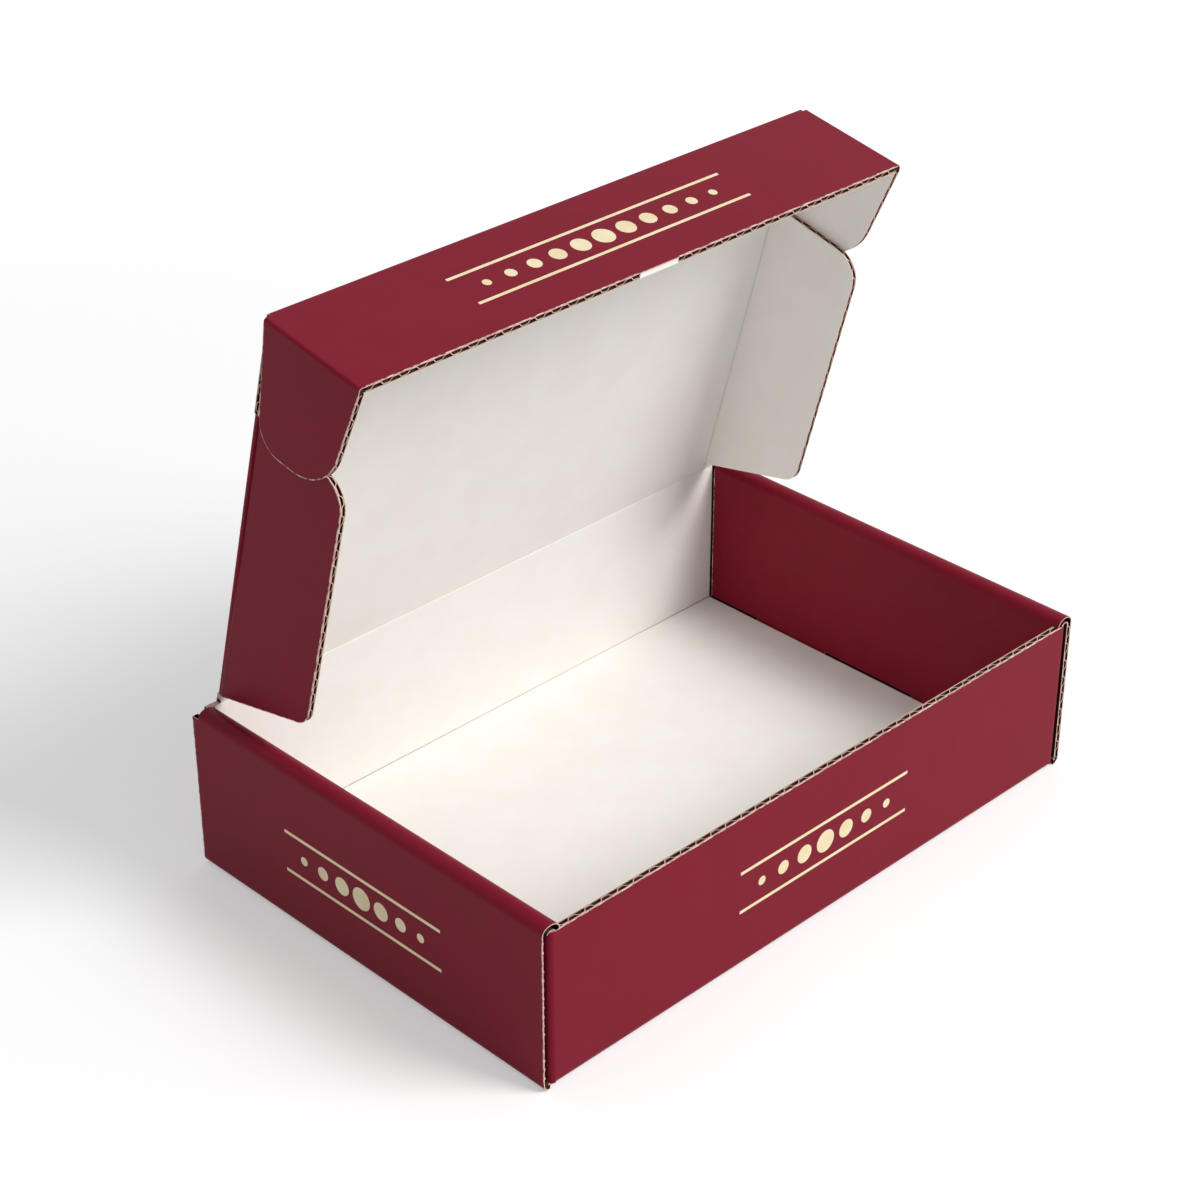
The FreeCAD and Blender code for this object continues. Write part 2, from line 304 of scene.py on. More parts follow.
def colour(red: float, green: float, blue: float) -> Colour:
    """A linear colour from the screen values 0 to 255.

    Args:
        red: Red on the screen.
        green: Green on the screen.
        blue: Blue on the screen.

    Returns:
        The linear colour with alpha 1.
    """
    shares = [value / 255 for value in (red, green, blue)]
    linear = [s / 12.92 if s <= 0.04045 else ((s + 0.055) / 1.055) ** 2.4 for s in shares]
    return (linear[0], linear[1], linear[2], 1.0)


# ---- finishes


@dataclass(frozen=True)
class Finish:
    """Ink or paper: two tones in soft clouds, fine fibres, and the flutes telling through faintly.

    The clouds are given as cells a metre, octaves and weight of the finer octaves; the fibres as the first two.
    """

    name: str
    light: Colour
    dark: Colour
    cloud: Point
    fibres: Optional[Flat] = None
    spread: Flat = (0.3, 0.7)
    stretch: Point = (1.0, 1.0, 1.0)
    fleck: Optional[Colour] = None
    fleck_span: Flat = (0.68, 0.78)
    fleck_share: float = 0.35
    rough: float = 0.5
    fibre_rough: float = 0.12
    cloud_rough: float = 0.0
    specular: float = 0.2
    washboard: float = 0.0
    fibre: float = 0.012

    def material(self) -> bpy.types.Material:
        """Makes the finish's material.

        Returns:
            The material.
        """
        shader = Shader(bpy.data.materials.new(self.name))
        place = shader.sheet()
        cloud = shader.noise(place, *self.cloud)
        fine = cloud if self.fibres is None else shader.noise(place, *self.fibres, stretch=self.stretch)
        tone = shader.blend(cloud.between(*self.spread), self.dark, self.light)
        if self.fleck is not None:
            tone = shader.blend(fine.between(*self.fleck_span) * self.fleck_share, tone, self.fleck)
        ridges = (shader.across(place) * (2 * math.pi / (BOARD.pitch * MM))).sine() * 0.5 + 0.5
        return shader.surface(
            {
                "Base Color": tone,
                "Roughness": self.rough + (fine - 0.5) * self.fibre_rough + (cloud - 0.5) * self.cloud_rough,
                "Specular IOR Level": self.specular,
                "Normal": shader.relief(ridges * self.washboard + fine * self.fibre),
            }
        )


def raw_paper(name: str, light: Colour, dark: Colour, grain: float = 900.0) -> Finish:
    """Bare paper fibres: a cut edge, the fluted medium, and also the painted shade that stands for the dark inside of
    a flute.
    """
    return Finish(name, light, dark, (grain, 3.0, 0.6), spread=(0.32, 0.68), rough=0.85, fibre_rough=0.1, fibre=0.03)


FINISHES: dict[Skin, Finish] = {
    Skin.OUTSIDE: Finish(
        "burgundy_print",
        colour(129, 18, 42),
        colour(125, 16, 39),
        (45.0, 4.0, 0.6),
        (1500.0, 2.0),
        rough=0.44,
        cloud_rough=0.1,
        specular=0.1,
        washboard=0.008,
    ),
    Skin.INSIDE: Finish(
        "white_liner",
        colour(247, 245, 241),
        colour(245, 242, 237),
        (60.0, 5.0, 0.6),
        (1900.0, 3.0),
        stretch=(1.0, 0.35, 1.0),
        fleck=colour(230, 222, 209),
        rough=0.74,
        fibre_rough=0.14,
        specular=0.3,
        washboard=0.007,
        fibre=0.014,
    ),
    Skin.CUT: raw_paper("cut_liner_edge", colour(236, 204, 190), colour(208, 165, 150)),
    Skin.MEDIUM: raw_paper("fluted_medium", colour(92, 62, 48), colour(56, 34, 27)),
    # Painted shade: very dark paper for flute hollows, gaps and hidden faces.
    Skin.HOLLOW: raw_paper("painted_flute_shade", colour(34, 14, 13), colour(20, 8, 8)),
    Skin.ORNAMENT: Finish(
        "pale_gold_ink", colour(248, 233, 196), colour(240, 221, 178), (140.0, 4.0, 0.5), (1500.0, 2.0), specular=0.4
    ),
    Skin.CRACKED: raw_paper("cracked_ink_edge", colour(255, 232, 220), colour(128, 44, 52), 480.0),
}
Materials = dict[Skin, bpy.types.Material]


# ---- board meshes


def box(left: float, low: float, right: float, high: float) -> list[Flat]:
    """A rectangle's corners, counter-clockwise from its lower left one."""
    return [(left, low), (right, low), (right, high), (left, high)]


def run_along(line: np.ndarray) -> np.ndarray:
    """How far each point of a line lies from its start, along the line."""
    return np.concatenate(([0.0], np.cumsum(np.linalg.norm(np.diff(line, axis=0), axis=1))))


def put(name: str, data: bpy.types.ID) -> bpy.types.Object:
    """Makes an object of its data and puts it in the scene."""
    made = bpy.data.objects.new(name, data)
    bpy.context.scene.collection.objects.link(made)
    return made


def frame_at(origin: Point, away: Point, inner: Point) -> Matrix:
    """A panel's own frame: Y away from its fold, Z out of its inner face, X along the fold.

    Args:
        origin: A point on the fold, at mid-thickness, in millimetres.
        away: Direction away from the fold.
        inner: Direction out of the inner face.

    Returns:
        The frame as a matrix, in millimetres.
    """
    along, inward = Vector(away).normalized(), Vector(inner).normalized()
    side = along.cross(inward)
    made = Matrix((side, along, inward)).transposed().to_4x4()
    return Matrix.Translation(origin) @ made


MIRROR = Matrix.Scale(-1, 4, (1, 0, 0))
SQUARE = Matrix.Rotation(math.radians(-90), 4, "Y")
SIDES = ((1, "right"), (-1, "left"))


def turned(way: int) -> Matrix:
    """Leaves the right side (1) where it is and mirrors it for the left one (-1)."""
    return Matrix.Identity(4) if way > 0 else MIRROR


class BoardMesh:
    """Gathers the faces of one piece of board, in millimetres."""

    def __init__(self, name: str, place: Matrix, seed: int, sheet_from: Flat = (0.0, 0.0)) -> None:
        """Starts an empty piece.

        Args:
            name: Name of the finished object.
            place: Frame of the part being drawn; it can be changed between parts.
            seed: Seed of the small irregularities.
            sheet_from: Where the part's origin lies on the unfolded sheet.
        """
        self.name = name
        self.place = place
        self.sheet_from = sheet_from
        self.chance = random.Random(seed)
        self.points: list[Vector] = []
        self.faces: list[tuple[int, ...]] = []
        self.skins: list[Skin] = []
        self.sheet: list[Flat] = []

    def face(self, corners: Sequence[Sequence[float]], skin: Skin, sheet: Optional[Sequence[Flat]] = None) -> None:
        """Adds one face, its corners counter-clockwise seen from outside.

        Args:
            corners: The corners in the part's frame.
            skin: What the face shows.
            sheet: The corners' places on the sheet, if not straight below them.
        """
        flat = list(sheet) if sheet is not None else [(c[0], c[1]) for c in corners]
        placed = [self.place @ Vector(c) for c in corners]
        if self.place.determinant() < 0:
            placed.reverse()
            flat.reverse()
        first = len(self.points)
        self.points.extend(placed)
        self.faces.append(tuple(range(first, first + len(placed))))
        self.skins.append(skin)
        self.sheet.extend((u + self.sheet_from[0], v + self.sheet_from[1]) for u, v in flat)

    def strip(self, low: np.ndarray, high: np.ndarray, skin: Skin, sheet: Optional[Flat] = None) -> None:
        """Adds a row of quads between two lines, seen with low on the near side and the row running right.

        Args:
            low: Points of the lower line.
            high: Points of the upper line.
            skin: What the row shows.
            sheet: Heights of the two lines on the sheet, where the row's length is the other coordinate.
        """
        run = run_along((low + high) / 2)
        for i in range(len(low) - 1):
            flat = None if sheet is None else box(run[i], sheet[0], run[i + 1], sheet[1])
            self.face([low[i], low[i + 1], high[i + 1], high[i]], skin, flat)

    def build(self, materials: Materials, node: Optional[str] = None) -> bpy.types.Object:
        """Makes the object, with its points merged and its flat and soft edges told apart.

        Args:
            materials: The board's materials.
            node: The solid that it rides on and stands for; a crease has none.

        Returns:
            The object, at the origin, in metres.
        """
        mesh = bpy.data.meshes.new(self.name)
        mesh.from_pydata([p * MM for p in self.points], [], self.faces)
        mesh.polygons.foreach_set("material_index", [skin.value for skin in self.skins])
        mesh.polygons.foreach_set("use_smooth", [True] * len(self.faces))
        layer = mesh.uv_layers.new(name="sheet")
        layer.data.foreach_set("uv", [value * MM for flat in self.sheet for value in flat])
        work = bmesh.new()
        work.from_mesh(mesh)
        bmesh.ops.remove_doubles(work, verts=work.verts, dist=BOARD.merge * MM)
        bmesh.ops.dissolve_degenerate(work, edges=work.edges, dist=BOARD.merge / 8 * MM)
        work.to_mesh(mesh)
        work.free()
        for skin in Skin:
            mesh.materials.append(materials[skin])
        mesh.set_sharp_from_angle(angle=math.radians(BOARD.sharp))
        piece = put(self.name, mesh)
        if node is not None:
            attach(piece, node)
            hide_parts(node)
        return piece


@dataclass
class CutEdge:
    """A cut edge of the board along a line: two liners with the fluted medium, or a groove, between them."""

    mesh: BoardMesh
    low: np.ndarray
    high: np.ndarray
    inward: np.ndarray
    depth: float = BOARD.depth
    fluted: bool = True
    # core is the skin of the faces behind the liners; by default painted shade for the hollow there.
    core: Skin = Skin.HOLLOW

    def __post_init__(self) -> None:
        """Measures the line."""
        self.run = run_along((self.low + self.high) / 2)
        self.length = float(self.run[-1])

    def at(self, along: np.ndarray, height: np.ndarray, inset: float) -> np.ndarray:
        """Points in the edge.

        Args:
            along: Distances along the edge.
            height: Heights above the outer face.
            inset: Distance into the board.

        Returns:
            The points.
        """
        low, high, inward = (
            np.stack([np.interp(along, self.run, table[:, k]) for k in range(3)], -1)
            for table in (self.low, self.high, self.inward)
        )
        up = high - low
        up /= np.linalg.norm(up, axis=1)[:, None]
        return low + up * height[:, None] + inward * inset

    def draw(self) -> None:
        """Draws the liners' cut edges, a back face behind them in the core skin (painted shade of the hollow by
        default) and the medium.
        """
        top = np.linalg.norm(self.high - self.low, axis=1)
        level = [np.zeros_like(top), np.full_like(top, BOARD.liner), top - BOARD.liner, top]
        front = [self.at(self.run, h, 0.0) for h in level]
        back = [self.at(self.run, h, self.depth) for h in level[1:3]]
        self.draw_row(front[0], front[1], Skin.CUT, 0, BOARD.liner)
        self.draw_row(front[2], front[3], Skin.CUT, 1, BOARD.liner)
        self.draw_row(front[1], back[0], Skin.MEDIUM, 2, self.depth)
        self.draw_row(back[1], front[2], Skin.MEDIUM, 4, self.depth)
        # The back face and the two end faces close the hollow; with the default core they are painted shade.
        self.draw_row(back[0], back[1], self.core, 6, BOARD.hollow)
        self.mesh.face([front[1][0], back[0][0], back[1][0], front[2][0]], self.core)
        self.mesh.face([back[0][-1], front[1][-1], front[2][-1], back[1][-1]], self.core)
        if self.fluted:
            self.draw_medium(float(top.mean()))

    def draw_medium(self, tall: float) -> None:
        """Draws the fluted medium as a wavy ribbon between the liners.

        Args:
            tall: Distance between the board's two faces.
        """
        count = max(8, int(self.length / BOARD.pitch * BOARD.steps))
        along = np.linspace(0.0, self.length, count)
        swing = tall / 2 - BOARD.liner - BOARD.medium / 2 - BOARD.play
        knots = np.arange(0.0, self.length + 2 * BOARD.pitch, BOARD.pitch / 2)
        drift = np.array([self.mesh.chance.uniform(-BOARD.drift, BOARD.drift) for _ in knots])
        size = np.array([self.mesh.chance.uniform(BOARD.shortest, 1.0) for _ in knots])
        phase = (along + np.interp(along, knots, drift)) * (2 * math.pi / BOARD.pitch)
        wave = np.tanh(BOARD.steepness * np.sin(phase)) / math.tanh(BOARD.steepness)
        height = tall / 2 + wave * swing * np.interp(along, knots, size)
        slope = np.gradient(height, along)
        tilt = np.sqrt(1 + slope**2)
        shift, rise = slope / tilt * BOARD.medium / 2, 1 / tilt * BOARD.medium / 2
        lines = []
        for way in (-1, 1):
            moved = np.clip(along - way * shift, 0.0, self.length)
            lines.append([self.at(moved, height + way * rise, inset) for inset in (BOARD.setback, self.depth)])
        self.draw_row(lines[0][0], lines[1][0], Skin.CUT, 8, BOARD.medium)
        self.draw_row(lines[1][0], lines[1][1], Skin.MEDIUM, 9, self.depth)
        self.draw_row(lines[0][1], lines[0][0], Skin.MEDIUM, 11, self.depth)

    def draw_row(self, low: np.ndarray, high: np.ndarray, skin: Skin, row: int, tall: float) -> None:
        """Adds one row of the edge, on its own place of the sheet."""
        start = row * BOARD.row
        self.mesh.strip(low, high, skin, (start, start + tall))


def rounded(corners: Sequence[Point]) -> list[Flat]:
    """An outline with rounded corners.

    Args:
        corners: Each corner and its radius, counter-clockwise.

    Returns:
        The points of the outline.
    """
    points: list[Flat] = []
    for number, (x, y, radius) in enumerate(corners):
        if radius <= 0:
            points.append((x, y))
            continue
        here = Vector((x, y))
        before = (Vector(corners[number - 1][:2]) - here).normalized()
        after = (Vector(corners[(number + 1) % len(corners)][:2]) - here).normalized()
        half = before.angle(after) / 2
        centre = here + (before + after).normalized() * (radius / math.sin(half))
        start = here + before * (radius / math.tan(half)) - centre
        turn = math.pi - 2 * half
        steps = max(6, int(radius * turn / BOARD.arc_step))
        for step in range(steps + 1):
            swung = Matrix.Rotation(turn * step / steps, 2) @ start
            points.append((centre.x + swung.x, centre.y + swung.y))
    return points


@dataclass
class Panel:
    """A flat panel: outline counter-clockwise seen from the inner face, and how each side ends."""

    mesh: BoardMesh
    outline: list[Flat]
    edges: list[Edge]
    inlays: Sequence[list[Flat]] = ()
    inside: Skin = Skin.INSIDE
    straight: float = 0.05

    def __post_init__(self) -> None:
        """Works out each side's direction into the panel."""
        self.points = np.array(self.outline, float)
        way = np.roll(self.points, -1, axis=0) - self.points
        way /= np.linalg.norm(way, axis=1)[:, None]
        self.normals = np.stack([-way[:, 1], way[:, 0]], -1)

    def inset(self, by: float) -> np.ndarray:
        """The outline moved inwards.

        Args:
            by: How far.

        Returns:
            The moved points.
        """
        moved = []
        for here, first, second in zip(self.points, np.roll(self.normals, 1, axis=0), self.normals):
            table = np.array([first, second])
            if abs(np.linalg.det(table)) < self.straight:
                moved.append(here + (first + second) / 2 * by)
            else:
                moved.append(here + np.linalg.solve(table, np.array([by, by])))
        return np.array(moved)

    def draw(self) -> None:
        """Draws both faces, their softened rims and the cut edges."""
        count = len(self.outline)
        cut = [self.edges[i] not in (Edge.JOINED, Edge.LAPPED) for i in range(count)]
        pinch = np.array([BOARD.pinch if cut[i] and cut[i - 1] else 0.0 for i in range(count)])
        rings = [self.points, *(self.inset(by) for by in (BOARD.crack, BOARD.edge_run, BOARD.guard))]
        for side, skin in ((1, self.inside), (-1, Skin.OUTSIDE)):
            lines = [
                np.column_stack([ring, side * (BOARD.half - pinch * share)])
                for ring, share in zip(rings, (1.0, 0.3, 0.0, 0.0))
            ]
            for number, (outer, inner) in enumerate(zip(lines, lines[1:])):
                pair = (outer, inner) if side > 0 else (inner, outer)
                closed = [np.vstack([line, line[:1]]) for line in pair]
                for i in range(count):
                    pale = number == 0 and side < 0 and cut[i] and self.edges[i] != Edge.PLAIN
                    self.mesh.strip(closed[0][i : i + 2], closed[1][i : i + 2], Skin.CRACKED if pale else skin)
            self.draw_face(rings[-1], side, skin)
        self.draw_edges(pinch)

    def draw_face(self, ring: np.ndarray, side: int, skin: Skin) -> None:
        """Draws one flat face with what is printed on it.

        Args:
            ring: The face's outline.
            side: 1 for the inner face, -1 for the outer one.
            skin: What the face shows.
        """
        shapes = [ring, *(self.inlays if side < 0 else ())]
        spots = [Vector(spot) for shape in shapes for spot in shape]
        starts = np.cumsum([0, *map(len, shapes)])
        loops = [list(range(first, last)) for first, last in zip(starts, starts[1:])]
        made, _, faces, _, _, parents = delaunay_2d_cdt(spots, [], loops, 1, 1e-5)
        for corners, owners in zip(faces, parents):
            flat = [(made[c].x, made[c].y, side * BOARD.half) for c in corners]
            self.mesh.face(flat[::side], Skin.ORNAMENT if owners and max(owners) else skin)

    def draw_edges(self, pinch: np.ndarray) -> None:
        """Draws the cut sides, each run of alike sides as one edge.

        Args:
            pinch: How much thinner the board is at each point.
        """
        count, points = len(self.points), self.points
        start = next((i for i in range(count) if self.edges[i] != self.edges[i - 1]), 0)
        order = [(start + k) % count for k in range(count)]
        normal = np.column_stack([self.normals, np.zeros(count)])
        for kind, alike in groupby(order, lambda i: self.edges[i]):
            if kind == Edge.JOINED:
                continue
            run = list(alike)
            spots = [*run, (run[-1] + 1) % count]
            inward = [normal[run[0]]]
            for before, after in zip(run, run[1:]):
                both = normal[before] + normal[after]
                inward.append(both / max(1e-6, float(both @ both) / 2))
            inward.append(normal[run[-1]])
            low = np.array([(*points[i], pinch[i] - BOARD.half) for i in spots])
            high = np.array([(*points[i], BOARD.half - pinch[i]) for i in spots])
            # A lapped end shows painted shade across the board's cut end, set back under the outer liner; a plain end
            # shows cut paper.
            if kind in (Edge.PLAIN, Edge.LAPPED):
                self.mesh.strip(low, high, Skin.CUT if kind == Edge.PLAIN else Skin.HOLLOW, (0.0, BOARD.thick))
            else:
                deep = BOARD.depth if kind == Edge.OPEN else BOARD.groove
                CutEdge(self.mesh, low, high, np.array(inward), deep, kind == Edge.OPEN).draw()


@dataclass
class Bend:
    """A fold between two panels: round outside, with a scored crease inside."""

    mesh: BoardMesh
    angle: float
    radius: float = BOARD.half
    reach: float = BOARD.fold_reach
    score: float = 0.34
    mouth: float = 0.28
    step: float = 9.0
    end_depth: float = 0.5
    inside: Skin = Skin.INSIDE

    def section(self) -> tuple[list[Flat], list[Flat]]:
        """The outer and the inner line of the fold, away from the fold and towards the inner face.

        Returns:
            The outer line and the inner line.
        """
        turn, half = math.radians(self.angle), BOARD.half
        lead = (self.radius - half) * math.tan(turn / 2)
        steps = max(4, int(self.angle / self.step))
        outer = [(-self.reach, -half)] if self.reach - lead > BOARD.sliver else []
        for step in range(steps + 1):
            swing = turn * step / steps
            outer.append((self.radius * math.sin(swing) - lead, self.radius - half - self.radius * math.cos(swing)))
        far = (math.cos(turn), math.sin(turn))
        if self.reach - lead > BOARD.sliver:
            outer.append((self.reach * far[0] + half * far[1], self.reach * far[1] - half * far[0]))
        corner = (-half * math.tan(turn / 2), half)
        mouth = min(self.mouth, self.reach + corner[0])
        sunk = 1 - self.score / math.hypot(*corner)
        inner = [(-self.reach, half)] if self.reach + corner[0] - mouth > BOARD.sliver else []
        inner += [
            (corner[0] - mouth, corner[1]),
            (corner[0] * sunk, corner[1] * sunk),
            (corner[0] + mouth * far[0], corner[1] + mouth * far[1]),
        ]
        if len(inner) == 4:
            inner.append((self.reach * far[0] - half * far[1], self.reach * far[1] + half * far[0]))
        return outer, inner

    def draw(self, low: float, high: float) -> None:
        """Draws the fold between two distances along its line.

        Args:
            low: Where it starts.
            high: Where it ends.
        """
        outer, inner = self.section()
        tables = []
        for line, skin, way in ((outer, Skin.OUTSIDE, 1), (inner, self.inside, -1)):
            run = run_along(np.array(line))
            tables.append((run / run[-1], np.array(line)))
            for i in range(len(line) - 1):
                spots = ((low, i), (low, i + 1), (high, i + 1), (high, i))
                self.mesh.face([(x, *line[k]) for x, k in spots][::way], skin, [(x, run[k]) for x, k in spots][::way])
        shares = np.unique(np.concatenate([shares for shares, _ in tables]).round(6))
        spots = [np.stack([np.interp(shares, known, line[:, k]) for k in range(2)], -1) for known, line in tables]
        for x, way in ((low, -1), (high, 1)):
            lines = [np.column_stack([np.full(len(shares), x), spot])[::way] for spot in spots]
            inward = np.tile((-way, 0.0, 0.0), (len(shares), 1))
            CutEdge(self.mesh, *lines, inward, self.end_depth, False, Skin.MEDIUM).draw()


# ---- the ornament


@dataclass(frozen=True)
class DotRow:
    """A plain printed ornament: a row of dots, largest in the middle, with short rules beside it."""

    length: float
    dot: float = 4.1
    count: int = 7
    rule: float = 1.2
    rule_gap: float = 3.4
    shrink: float = 0.6
    sides: int = 40

    def inlays(self, x: float, y: float) -> list[list[Flat]]:
        """The ornament's shapes.

        Args:
            x: Its middle on the panel, along the fold.
            y: Its middle's distance from the fold.

        Returns:
            The dots and the two rules.
        """
        made = []
        centre, step = (self.count - 1) / 2, self.length / (self.count + 1)
        turns = [2 * math.pi * k / self.sides for k in range(self.sides)]
        for number in range(self.count):
            size = self.dot * (1 - self.shrink * abs(number - centre) / centre)
            at = x + (number - centre) * step
            made.append([(at + size * math.cos(a), y + size * math.sin(a)) for a in turns])
        reach, half = self.length / 2, self.rule / 2
        for way in (-1, 1):
            level = y + way * (self.dot + self.rule_gap)
            made.append(box(x - reach, level - half, x + reach, level + half))
        return made


# ---- the tray


@dataclass
class Tray:
    """Floor, front and back walls with their corner tabs, and the two rolled side walls, in millimetres."""

    materials: Materials
    half_width: float = 125.0
    half_depth: float = 82.0
    side_height: float = 61.0
    front_top: float = 58.0
    hinge: Flat = (80.85, 59.45)
    wall_end: float = 120.05
    tab_end: float = 40.0
    tab_foot: float = 2.8
    corner_foot: float = 1.2
    corner_inset: float = 0.03
    inner_ply: float = 117.8
    # From here outwards the floor and the back wall show painted shade instead of white liner.
    painted_shade_from: float = 117.5
    inner_foot: float = 2.95
    inner_front: float = 79.55
    roll_back: float = 78.9
    roll_rise: float = 3.0
    roll_inner_rise: float = 0.7
    roll_fullness: float = 0.85
    roll_steps: int = 16
    roll_hollow: float = 5.0
    lid_edge: float = 115.05
    lock_at: float = 38.0
    lock_half: float = 17.0
    lock_gap: float = 0.15
    lock_foot: float = 0.2
    lip: float = 2.1
    lip_steps: int = 150
    lip_crumbs: float = 0.55
    smallest_crumb: float = 0.25
    front_ornament: DotRow = DotRow(80.0)
    front_ornament_at: float = 28.0
    side_ornament: DotRow = DotRow(74.0)
    side_ornament_at: float = 27.0

    def __post_init__(self) -> None:
        """Works out the folds' lines at mid-thickness and the rolled rim's foot."""
        self.wall_line = self.half_depth - BOARD.half
        self.ply_line = self.half_width - BOARD.half
        self.rim_foot = self.side_height - self.roll_rise

    def floor(self) -> bpy.types.Object:
        """The floor with its lock slots and the two folds to the front and back walls.

        Returns:
            The floor.
        """
        mesh = BoardMesh("floor_board", Matrix.Translation((0, 0, BOARD.half)), 11)
        edge_y = self.half_depth - BOARD.tray_round
        ends, seen = self.wall_end, self.painted_shade_from
        Panel(mesh, box(-seen, -edge_y, seen, edge_y), [Edge.JOINED] * 4).draw()
        half_slot = self.lock_half + self.lock_gap
        near, far = self.lock_at - half_slot, self.lock_at + half_slot
        # Past the inner plies' faces the floor's inner face is painted dark: painted shade for the slot under each
        # ply.
        for side in (-1, 1):
            left, right = sorted((side * seen, side * ends))
            for low, high in ((-edge_y, -far), (-near, near), (far, edge_y)):
                first, last = (Edge.JOINED if abs(y) == edge_y else Edge.PLAIN for y in (low, high))
                kinds = [first, Edge.JOINED, last, Edge.JOINED]
                Panel(mesh, box(left, low, right, high), kinds, inside=Skin.HOLLOW).draw()
            for low, high in ((-far, -near), (near, far)):
                ring = box(low, -BOARD.half, high, BOARD.half)
                mesh.face([(side * seen, *spot) for spot in ring[::side]], Skin.CUT)
        for way in (-1, 1):
            mesh.place = frame_at((0, way * self.wall_line, BOARD.half), (0, way, 0), (0, 0, 1))
            Bend(mesh, 90, BOARD.tray_round).draw(-ends, ends)
        return mesh.build(self.materials, "tray")

    def wall(self, name: str, way: int) -> bpy.types.Object:
        """The front or the back wall, its rounded ends and its corner tabs.

        Args:
            name: Name of the piece.
            way: -1 for the front, 1 for the back.

        Returns:
            The wall.
        """
        upright = frame_at((0, way * self.wall_line, BOARD.half), (0, 0, 1), (0, -way, 0))
        mesh = BoardMesh(name, upright, 20 + way, (0.0, 60.0 * way))
        ends, foot = self.wall_end, BOARD.fold_reach
        top = (self.front_top if way < 0 else self.hinge[1]) - BOARD.half
        plain, joined, opened = Edge.PLAIN, Edge.JOINED, Edge.OPEN
        if way < 0:
            inlays = self.front_ornament.inlays(0.0, self.front_ornament_at)
            Panel(mesh, box(-ends, foot, ends, top), [joined, joined, opened, joined], inlays).draw()
        else:
            crease, lid, seen = top - BOARD.fold_reach, self.lid_edge, self.painted_shade_from
            # The back wall's ends behind the inner plies have a dark inner face: painted shade for the gap beside
            # each ply.
            for left, right in ((-ends, -seen), (seen, ends)):
                Panel(mesh, box(left, foot, right, top), [joined, joined, plain, joined], inside=Skin.HOLLOW).draw()
            outline = [(-seen, foot), (seen, foot), (seen, top), (lid, top), (lid, crease)]
            outline += [(-lid, crease), (-lid, top), (-seen, top)]
            Panel(mesh, outline, [joined, joined, plain, plain, joined, plain, plain, joined]).draw()
        spot = (ends + BOARD.tray_round - BOARD.half, way * self.wall_line, 0)
        corner, tab = frame_at(spot, (1, 0, 0), (0, -way, 0)), frame_at(spot, (0, -way, 0), (-1, 0, 0))
        low, tab_low, top = (-way * height for height in (self.corner_foot, self.tab_foot, self.front_top))
        left, right = sorted((tab_low, top))
        # The corner bends and tabs have a dark inner face: painted shade where they show through the gaps at the
        # corners.
        for side in (-1, 1):
            mesh.place = turned(side) @ corner
            Bend(mesh, 90, BOARD.tray_round, inside=Skin.HOLLOW).draw(*sorted((low, top)))
            self.draw_step(mesh, *sorted((low, -way * BOARD.tray_round)), self.corner_inset - foot)
            mesh.place = turned(side) @ tab
            self.draw_step(mesh, *sorted((low, tab_low)), foot - self.corner_inset)
            outline = box(left, foot, right, self.wall_line - self.tab_end)
            Panel(mesh, outline, [joined, opened, opened, opened], inside=Skin.HOLLOW).draw()
        return mesh.build(self.materials, "tray")

    @staticmethod
    def draw_step(mesh: BoardMesh, low: float, high: float, at: float) -> None:
        """Closes a corner's side where it reaches further down than its neighbour.

        Args:
            mesh: The wall, in the corner's or the tab's frame.
            low: Where the step starts along the fold.
            high: Where it ends.
            at: Its distance from the fold, negative on the wall's side.
        """
        ring = box(low, -BOARD.half, high, BOARD.half)
        mesh.face([(x, at, z) for x, z in (ring[::-1] if at > 0 else ring)], Skin.CUT, ring)

    def side(self, name: str, way: int) -> bpy.types.Object:
        """One side wall: outer ply, rolled rim, inner ply and its two locks.

        Args:
            name: Name of the piece.
            way: 1 for the right wall, -1 for the left.

        Returns:
            The wall.
        """
        turn, fold = turned(way), (self.ply_line, 0, BOARD.half)
        mesh = BoardMesh(name, turn @ frame_at(fold, (0, 0, 1), (-1, 0, 0)), 30 + way, (200.0 * way, 0.0))
        deep, top = self.half_depth, self.rim_foot - BOARD.half
        front, kind, inlays = deep, Edge.OPEN, ()
        if way < 0:
            front, kind = deep - self.lip, Edge.LAPPED
            inlays = self.side_ornament.inlays(0.0, self.side_ornament_at)
        outline = box(-deep, BOARD.fold_reach, front, top)
        # The outer ply's inner face is painted dark: painted shade where it shows beside the front wall's round
        # corner.
        Panel(mesh, outline, [Edge.JOINED, kind, Edge.JOINED, Edge.OPEN], inlays, inside=Skin.HOLLOW).draw()
        if way < 0:
            self.draw_lip(mesh, top)
        mesh.place = turn @ frame_at(fold, (1, 0, 0), (0, 0, 1))
        Bend(mesh, 90, BOARD.tray_round).draw(-deep, deep)
        mesh.place = turn
        near, start, ends = self.wall_end, self.ply_line - BOARD.fold_reach, deep - BOARD.tray_round
        ring = box(near, -ends, start, ends)
        ring = [ring[0], ring[3], ring[2], ring[1]]
        mesh.face([(*spot, 0.0) for spot in ring], Skin.OUTSIDE)
        mesh.face([(*spot, BOARD.thick) for spot in ring[::-1]], Skin.INSIDE)
        for y, sign in ((-ends, 1), (ends, -1)):
            ring = [(x, y, z) for x, z in box(near, 0.0, start, BOARD.thick)]
            mesh.face(ring[::sign], Skin.OUTSIDE)
            ring = [(start, spot, z) for spot, z in box(y, 0.0, -sign * deep, BOARD.thick)]
            mesh.face(ring[::sign], Skin.OUTSIDE)
        self.draw_rim(mesh)
        self.draw_inner_ply(mesh, turn)
        return mesh.build(self.materials, "tray")

